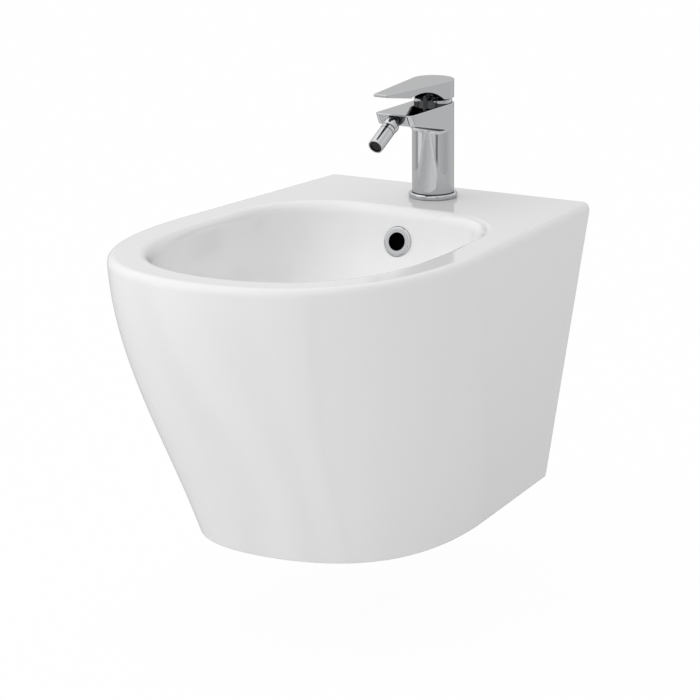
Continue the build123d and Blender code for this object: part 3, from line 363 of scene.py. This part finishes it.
# %% Floor paint
GLOW_SHARE = 0.97
floor_paint = bpy.data.materials.new("pale_floor_paint")
floor_paint.use_nodes = True
tree = floor_paint.node_tree
tree.nodes.clear()
rays = add(tree, "ShaderNodeLightPath").outputs
seen = rays["Is Camera Ray"]
for kind_of_ray in ("Is Glossy Ray", "Is Transmission Ray"):
    seen = add(
        tree, "ShaderNodeMath", {0: seen, 1: rays[kind_of_ray]}, operation="MAXIMUM"
    ).outputs[0]
share = add(tree, "ShaderNodeMath", {0: seen, 1: GLOW_SHARE}, operation="MULTIPLY")
matte = add(tree, "ShaderNodeBsdfDiffuse", {"Color": colour("#F2F2F2")})
glow = add(tree, "ShaderNodeEmission", {"Color": WHITE, "Strength": 1.0})
mixed = add(
    tree,
    "ShaderNodeMixShader",
    {0: share.outputs[0], 1: matte.outputs["BSDF"], 2: glow.outputs["Emission"]},
)
add(tree, "ShaderNodeOutputMaterial", {"Surface": mixed.outputs["Shader"]})
floor_mesh.materials.append(floor_paint)
floor.visible_glossy = False
print("floor paint:", floor_paint.name)

# %% [markdown]
# ## The room's light
# A white studio does most of the work. It is brighter overhead than near the floor, and brighter
# on the left than on the right, which is what gives the china its soft shading. A picture of a
# studio could do this, but two ramps are plainer: one over the height of a direction and one over
# how far it points to the left.

# %% World: height and side
LOWEST, HIGHEST = -0.2, 1.0
LOW_LEVEL, HIGH_LEVEL = 0.6, 1.08
LEFT = (-0.86, -0.5, 0.0)
RIGHT_LEVEL, LEFT_LEVEL = 0.58, 1.28
world = bpy.data.worlds.new("white_room")
bpy.context.scene.world = world
world.use_nodes = True
tree = world.node_tree
tree.nodes.clear()
rays = add(tree, "ShaderNodeLightPath").outputs
direction = add(tree, "ShaderNodeTexCoord").outputs["Generated"]
height = add(tree, "ShaderNodeSeparateXYZ", {"Vector": direction}).outputs["Z"]
by_height = add(
    tree,
    "ShaderNodeMapRange",
    {
        "Value": height,
        "From Min": LOWEST,
        "From Max": HIGHEST,
        "To Min": LOW_LEVEL,
        "To Max": HIGH_LEVEL,
    },
).outputs["Result"]
leftward = add(
    tree, "ShaderNodeVectorMath", {0: direction, 1: LEFT}, operation="DOT_PRODUCT"
).outputs["Value"]
by_side = add(
    tree,
    "ShaderNodeMapRange",
    {
        "Value": leftward,
        "From Min": -1.0,
        "From Max": 1.0,
        "To Min": RIGHT_LEVEL,
        "To Max": LEFT_LEVEL,
    },
).outputs["Result"]
room_level = add(tree, "ShaderNodeMath", {0: by_height, 1: by_side}, operation="MULTIPLY")
print("room from", RIGHT_LEVEL * LOW_LEVEL, "to", LEFT_LEVEL * HIGH_LEVEL)

# %% [markdown]
# ## Panels for the chrome to mirror
# Polished metal has no look of its own, and in an even white room it would be a white shape. A
# photographer stands grey and white panels around it. Here they are a ramp over the bearing, from
# 0 to 1 once round the room, and each stop is a bearing with the level of the panel there.

# %% World: bearing
ACROSS = (0.861, 0.508, 0.0)
TOWARDS = (0.508, -0.861, 0.0)
parts = []
for axis in (ACROSS, TOWARDS):
    part = add(tree, "ShaderNodeVectorMath", {0: direction, 1: axis}, operation="DOT_PRODUCT")
    parts.append(part.outputs["Value"])
angle = add(tree, "ShaderNodeMath", {0: parts[0], 1: parts[1]}, operation="ARCTAN2")
bearing = add(
    tree,
    "ShaderNodeMapRange",
    {"Value": angle.outputs[0], "From Min": -math.pi, "From Max": math.pi},
)
print("bearing 0.5 looks along", TOWARDS)

# %% World: panels
PANELS = [
    (0.0, 0.85),
    (0.18, 0.75),
    (0.2, 0.5),
    (0.235, 0.5),
    (0.26, 1.15),
    (0.31, 1.1),
    (0.34, 0.66),
    (0.4, 0.64),
    (0.43, 1.25),
    (0.53, 1.25),
    (0.54, 0.4),
    (0.56, 0.4),
    (0.575, 1.25),
    (0.7, 1.3),
    (0.78, 1.6),
    (0.87, 1.5),
    (0.93, 0.8),
    (1.0, 0.85),
]
panels = add(tree, "ShaderNodeValToRGB", {"Fac": bearing.outputs["Result"]})
ramp = panels.color_ramp
while len(ramp.elements) < len(PANELS):
    ramp.elements.new(0.5)
for element, (position, grey) in zip(ramp.elements, PANELS):
    element.position = position
    element.color = (grey, grey, grey, 1.0)
print("panel stops:", len(ramp.elements))

# %% [markdown]
# The panels stand around the room and not above it, so they fade out towards the ceiling. Only
# reflections see them, which leaves the light on the china as it was. Light that has already
# gone from one mirror to another comes back dim, as it does in the gap under a tap's lever.

# %% World: where the panels count
PANEL_TOP, PANEL_GONE = 0.35, 0.6
SECOND_MIRROR = 1.5
SECOND_LEVEL = 0.12
low_enough = add(
    tree,
    "ShaderNodeMapRange",
    {
        "Value": height,
        "From Min": PANEL_TOP,
        "From Max": PANEL_GONE,
        "To Min": 1.0,
        "To Max": 0.0,
    },
).outputs["Result"]
panel_share = add(
    tree, "ShaderNodeMath", {0: low_enough, 1: rays["Is Glossy Ray"]}, operation="MULTIPLY"
).outputs[0]
panelled = add(
    tree,
    "ShaderNodeMix",
    {0: panel_share, 2: 1.0, 3: panels.outputs["Color"]},
    data_type="FLOAT",
).outputs[0]
mirrored_twice = add(
    tree,
    "ShaderNodeMath",
    {0: rays["Glossy Depth"], 1: SECOND_MIRROR},
    operation="GREATER_THAN",
).outputs[0]
dimmed = add(
    tree,
    "ShaderNodeMapRange",
    {
        "Value": mirrored_twice,
        "From Min": 0.0,
        "From Max": 1.0,
        "To Min": 1.0,
        "To Max": SECOND_LEVEL,
    },
).outputs["Result"]
print("panels end between", PANEL_TOP, "and", PANEL_GONE)

# %% [markdown]
# The three levels are multiplied. The camera itself sees a plain white backdrop of strength 1, so
# the background's colour doesn't depend on how the room is lit.

# %% World: put together
level = room_level.outputs[0]
for factor in (panelled, dimmed):
    level = add(tree, "ShaderNodeMath", {0: level, 1: factor}, operation="MULTIPLY").outputs[0]
room = add(tree, "ShaderNodeBackground", {"Color": WHITE, "Strength": level})
backdrop = add(tree, "ShaderNodeBackground", {"Color": WHITE, "Strength": 1.0})
mixed = add(
    tree,
    "ShaderNodeMixShader",
    {0: rays["Is Camera Ray"], 1: room.outputs["Background"], 2: backdrop.outputs["Background"]},
)
add(tree, "ShaderNodeOutputWorld", {"Surface": mixed.outputs["Shader"]})
print("world:", world.name)

# %% [markdown]
# ## Key lamp
# One large soft lamp stands high on the left and gives the rim and the deck their direction. A
# smaller one would cut hard shadows into the bowl. It is kept out of mirrors, because a square
# patch of light would show on the lever.

# %% Key lamp
LAMP_SPOT = Vector((-1.9, -1.9, 2.2))
LAMP_AIM = Vector((0, -0.25, 0))
LAMP_SIZE = 1.6
LAMP_POWER = 11
light = bpy.data.lights.new("key_lamp", "AREA")
light.shape = "SQUARE"
light.size = LAMP_SIZE
light.energy = LAMP_POWER
lamp = bpy.data.objects.new("key_lamp", light)
lamp.location = LAMP_SPOT
lamp.rotation_euler = (LAMP_AIM - LAMP_SPOT).to_track_quat("-Z", "Y").to_euler()
lamp.visible_glossy = False
bpy.context.scene.collection.objects.link(lamp)
print("key lamp power:", light.energy)

# %% [markdown]
# ## Camera
# The view is from the front right and a little above, through a long lens that hardly narrows the
# far end. A camera could be aimed with a tracking constraint, but the view was worked out as
# three axes, so they go straight into its matrix: right, up and back.

# %% Camera
SENSOR_WIDTH = 36.0
LENS = 184.63
camera_data = bpy.data.cameras.new("camera")
camera_data.sensor_width = SENSOR_WIDTH
camera_data.lens = LENS
camera_data.clip_end = 100.0
camera = bpy.data.objects.new("camera", camera_data)
bpy.context.scene.collection.objects.link(camera)
camera_spot = Vector((1.80267, -3.27403, 0.8533))
camera_right = Vector((0.86134921, 0.50798632, -0.00523823))
camera_up = Vector((-0.11968312, 0.21293587, 0.96970834))
camera_back = camera_right.cross(camera_up)
turn = Matrix((camera_right, camera_up, camera_back)).transposed().to_4x4()
camera.matrix_world = Matrix.Translation(camera_spot) @ turn
bpy.context.scene.camera = camera
bpy.context.scene.view_settings.view_transform = "Standard"
print("camera lens:", camera_data.lens)
